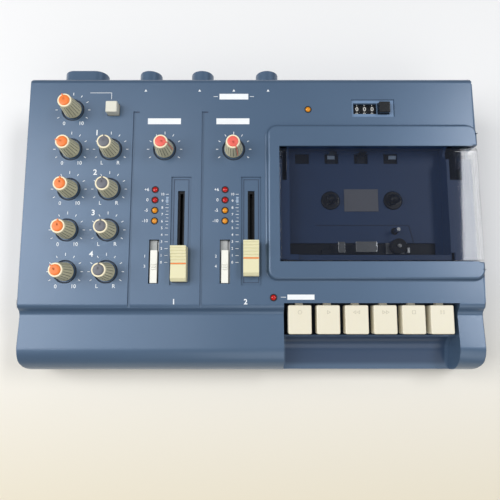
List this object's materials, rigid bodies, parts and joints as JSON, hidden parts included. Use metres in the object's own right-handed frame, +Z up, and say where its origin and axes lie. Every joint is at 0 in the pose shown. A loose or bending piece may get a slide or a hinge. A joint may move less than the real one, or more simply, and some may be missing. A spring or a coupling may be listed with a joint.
{
  "type": "four track cassette recorder",
  "caption": "Desk-top multitrack cassette recorder with a small mixer: rotary knobs, slide faders, tape deck with a smoked lid and piano keys.",
  "frame": {"origin": "middle of the machine's plan, on the table", "axes": "+X to the right along the width, +Y to the rear where the sockets are, +Z up"},
  "size_m": [0.3, 0.2046, 0.0664],
  "materials": {
    "painted_case": "satin blue-grey metallic paint on moulded plastic",
    "dark_case": "fine texture",
    "rubber": "matte",
    "steel": "plated sheet",
    "board": "solder mask",
    "pot_metal": "stamped",
    "lamp_red": "clear tinted",
    "lamp_amber": "clear tinted",
    "ivory": "fine texture",
    "white": "smooth",
    "black": "fine texture",
    "clear_window": "clear acrylic",
    "smoked_lid": "smoked, polished",
    "well_blue": "fine texture",
    "brass": "plated",
    "head_metal": "polished"
  },
  "bodies": {
    "machine": {"top_cover": "painted_case", "bottom_cover": "dark_case", "rubber_feet": "rubber", "screws": "steel", "main_board": "board", "panel_board": "board", "rotary_pots": "pot_metal", "slide_pots": "pot_metal", "switch_bodies": "pot_metal", "red_lamps": "lamp_red", "amber_lamps": "lamp_amber", "counter_housing": "black", "counter_window": "clear_window", "cassette_well": "well_blue", "deck_chassis": "steel", "cassette_springs": "steel", "drive_motor": "steel", "capstan_belt": "rubber", "key_shaft": "steel", "key_springs": "steel", "phone_jacks": "black", "line_out_jacks": "brass", "power_inlet": "black"},
    "phones_level_knob": {"phones_level_knob": "ivory"},
    "level_knob_1": {"level_knob_1": "ivory"},
    "level_knob_2": {"level_knob_2": "ivory"},
    "level_knob_3": {"level_knob_3": "ivory"},
    "level_knob_4": {"level_knob_4": "ivory"},
    "pan_knob_1": {"pan_knob_1": "ivory"},
    "pan_knob_2": {"pan_knob_2": "ivory"},
    "pan_knob_3": {"pan_knob_3": "ivory"},
    "pan_knob_4": {"pan_knob_4": "ivory"},
    "trim_knob_1": {"trim_knob_1": "ivory"},
    "trim_knob_2": {"trim_knob_2": "ivory"},
    "fader_cap_1": {"fader_cap_1": "ivory"},
    "fader_cap_2": {"fader_cap_2": "ivory"},
    "rec_switch_1": {"rec_switch_1": "white"},
    "rec_switch_2": {"rec_switch_2": "white"},
    "mono_button": {"mono_button": "ivory"},
    "counter_units": {"counter_units": "black"},
    "counter_tens": {"counter_tens": "black"},
    "counter_hundreds": {"counter_hundreds": "black"},
    "counter_reset_button": {"counter_reset_button": "black"},
    "cassette_door": {"cassette_door": "smoked_lid"},
    "supply_reel_hub": {"supply_reel_hub": "black"},
    "takeup_reel_hub": {"takeup_reel_hub": "black"},
    "capstan_flywheel": {"capstan_flywheel": "steel"},
    "motor_pulley": {"motor_pulley": "brass"},
    "pinch_roller": {"pinch_roller": "rubber"},
    "record_key": {"record_key": "ivory"},
    "play_key": {"play_key": "ivory"},
    "rewind_key": {"rewind_key": "ivory"},
    "fast_forward_key": {"fast_forward_key": "ivory"},
    "stop_key": {"stop_key": "ivory"},
    "pause_key": {"pause_key": "ivory"},
    "input_selector": {"input_selector": "black"},
    "head_bridge": {"head_bridge": "steel", "tape_heads": "head_metal", "pinch_arm": "steel"}
  },
  "joints": [
    {"name": "phones_level_knob_turn", "type": "hinge", "parent": "machine", "child": "phones_level_knob", "pos_m": [-0.1202, 0.0683, 0.06055], "axis": [0, -0.0698, 0.9976], "range_deg": [-170, 130]},
    {"name": "level_knob_1_turn", "type": "hinge", "parent": "machine", "child": "level_knob_1", "pos_m": [-0.1202, 0.04087, 0.05863], "axis": [0, -0.0698, 0.9976], "range_deg": [-225, 75]},
    {"name": "level_knob_2_turn", "type": "hinge", "parent": "machine", "child": "level_knob_2", "pos_m": [-0.1202, 0.01365, 0.05673], "axis": [0, -0.0698, 0.9976], "range_deg": [-150, 150]},
    {"name": "level_knob_3_turn", "type": "hinge", "parent": "machine", "child": "level_knob_3", "pos_m": [-0.1202, -0.01356, 0.05483], "axis": [0, -0.0698, 0.9976], "range_deg": [-150, 150]},
    {"name": "level_knob_4_turn", "type": "hinge", "parent": "machine", "child": "level_knob_4", "pos_m": [-0.1202, -0.04077, 0.05292], "axis": [0, -0.0698, 0.9976], "range_deg": [-195, 105]},
    {"name": "pan_knob_1_turn", "type": "hinge", "parent": "machine", "child": "pan_knob_1", "pos_m": [-0.0937, 0.04087, 0.05863], "axis": [0, -0.0698, 0.9976], "range_deg": [-150, 150]},
    {"name": "pan_knob_2_turn", "type": "hinge", "parent": "machine", "child": "pan_knob_2", "pos_m": [-0.0937, 0.01365, 0.05673], "axis": [0, -0.0698, 0.9976], "range_deg": [-150, 150]},
    {"name": "pan_knob_3_turn", "type": "hinge", "parent": "machine", "child": "pan_knob_3", "pos_m": [-0.0937, -0.01356, 0.05483], "axis": [0, -0.0698, 0.9976], "range_deg": [-150, 150]},
    {"name": "pan_knob_4_turn", "type": "hinge", "parent": "machine", "child": "pan_knob_4", "pos_m": [-0.0937, -0.04077, 0.05292], "axis": [0, -0.0698, 0.9976], "range_deg": [-150, 150]},
    {"name": "trim_knob_1_turn", "type": "hinge", "parent": "machine", "child": "trim_knob_1", "pos_m": [-0.0577, 0.04087, 0.05863], "axis": [0, -0.0698, 0.9976], "range_deg": [-50, 250]},
    {"name": "trim_knob_2_turn", "type": "hinge", "parent": "machine", "child": "trim_knob_2", "pos_m": [-0.01165, 0.04087, 0.05863], "axis": [0, -0.0698, 0.9976], "range_deg": [0, 300]},
    {"name": "fader_1_slide", "type": "slide", "parent": "machine", "child": "fader_cap_1", "axis": [0, 0.9976, 0.0698], "range_m": [0, 0.045]},
    {"name": "fader_2_slide", "type": "slide", "parent": "machine", "child": "fader_cap_2", "axis": [0, 0.9976, 0.0698], "range_m": [-0.0035, 0.0415]},
    {"name": "rec_switch_1_slide", "type": "slide", "parent": "machine", "child": "rec_switch_1", "axis": [0, 0.9976, 0.0698], "range_m": [0, 0.0066]},
    {"name": "rec_switch_2_slide", "type": "slide", "parent": "machine", "child": "rec_switch_2", "axis": [0, 0.9976, 0.0698], "range_m": [0, 0.0066]},
    {"name": "mono_press", "type": "slide", "parent": "machine", "child": "mono_button", "axis": [0, 0.0698, -0.9976], "range_m": [0, 0.003], "stiffness_N_per_m": 200, "springref_m": -0.003},
    {"name": "counter_reset_press", "type": "slide", "parent": "machine", "child": "counter_reset_button", "axis": [0, 0.0698, -0.9976], "range_m": [0, 0.0024], "stiffness_N_per_m": 200, "springref_m": -0.003},
    {"name": "counter_hundreds_turn", "type": "hinge", "parent": "machine", "child": "counter_hundreds", "pos_m": [0.07185, 0.07079, 0.04278], "axis": [1, 0, 0], "continuous": true},
    {"name": "counter_tens_turn", "type": "hinge", "parent": "machine", "child": "counter_tens", "pos_m": [0.077, 0.07079, 0.04278], "axis": [1, 0, 0], "continuous": true},
    {"name": "counter_units_turn", "type": "hinge", "parent": "machine", "child": "counter_units", "pos_m": [0.08215, 0.07079, 0.04278], "axis": [1, 0, 0], "continuous": true},
    {"name": "door_hinge", "type": "hinge", "parent": "machine", "child": "cassette_door", "pos_m": [0.08, 0.03864, 0.04815], "axis": [-1, 0, 0], "range_deg": [0, 75]},
    {"name": "supply_reel_hub_turn", "type": "hinge", "parent": "machine", "child": "supply_reel_hub", "pos_m": [0.05405, 0.01024, 0.03143], "axis": [0, -0.0698, 0.9976], "continuous": true},
    {"name": "takeup_reel_hub_turn", "type": "hinge", "parent": "machine", "child": "takeup_reel_hub", "pos_m": [0.09655, 0.01024, 0.03143], "axis": [0, -0.0698, 0.9976], "continuous": true},
    {"name": "capstan_turn", "type": "hinge", "parent": "machine", "child": "capstan_flywheel", "pos_m": [0.0969, -0.01061, 0.02496], "axis": [0, -0.0698, 0.9976], "continuous": true},
    {"name": "motor_turn", "type": "hinge", "parent": "machine", "child": "motor_pulley", "pos_m": [0.0385, 0.03074, 0.01783], "axis": [0, -0.0698, 0.9976], "continuous": true},
    {"name": "bridge_slide", "type": "slide", "parent": "machine", "child": "head_bridge", "axis": [0, 0.9976, 0.0698], "range_m": [0, 0.0045], "stiffness_N_per_m": 15, "springref_m": -0.001},
    {"name": "pinch_roller_turn", "type": "hinge", "parent": "head_bridge", "child": "pinch_roller", "pos_m": [0.0969, -0.02268, 0.03915], "axis": [0, -0.0698, 0.9976], "continuous": true},
    {"name": "record_key_press", "type": "hinge", "parent": "machine", "child": "record_key", "pos_m": [0.0311, -0.037, 0.03314], "axis": [1, 0, 0], "range_deg": [0, 8], "stiffness_Nm_per_rad": 0.5, "springref_deg": -2.86},
    {"name": "play_key_press", "type": "hinge", "parent": "machine", "child": "play_key", "pos_m": [0.04928, -0.037, 0.03314], "axis": [1, 0, 0], "range_deg": [0, 8]},
    {"name": "rewind_key_press", "type": "hinge", "parent": "machine", "child": "rewind_key", "pos_m": [0.06746, -0.037, 0.03314], "axis": [1, 0, 0], "range_deg": [0, 8], "stiffness_Nm_per_rad": 0.5, "springref_deg": -2.86},
    {"name": "fast_forward_key_press", "type": "hinge", "parent": "machine", "child": "fast_forward_key", "pos_m": [0.08564, -0.037, 0.03314], "axis": [1, 0, 0], "range_deg": [0, 8], "stiffness_Nm_per_rad": 0.5, "springref_deg": -2.86},
    {"name": "stop_key_press", "type": "hinge", "parent": "machine", "child": "stop_key", "pos_m": [0.10382, -0.037, 0.03314], "axis": [1, 0, 0], "range_deg": [0, 8], "stiffness_Nm_per_rad": 0.5, "springref_deg": -2.86},
    {"name": "pause_key_press", "type": "hinge", "parent": "machine", "child": "pause_key", "pos_m": [0.122, -0.037, 0.03314], "axis": [1, 0, 0], "range_deg": [0, 8], "stiffness_Nm_per_rad": 0.5, "springref_deg": -2.86},
    {"name": "input_selector_slide", "type": "slide", "parent": "machine", "child": "input_selector", "axis": [1, 0, 0], "range_m": [0, 0.003]}
  ],
  "couplings": [
    {"joint": "play_key_press", "follows": "bridge_slide", "rad_per_m": 30},
    {"joint": "motor_turn", "follows": "capstan_turn", "ratio": 5.7143},
    {"joint": "counter_units_turn", "follows": "takeup_reel_hub_turn", "ratio": -0.06},
    {"joint": "counter_tens_turn", "follows": "takeup_reel_hub_turn", "ratio": -0.006},
    {"joint": "counter_hundreds_turn", "follows": "takeup_reel_hub_turn", "ratio": -0.0006}
  ]
}
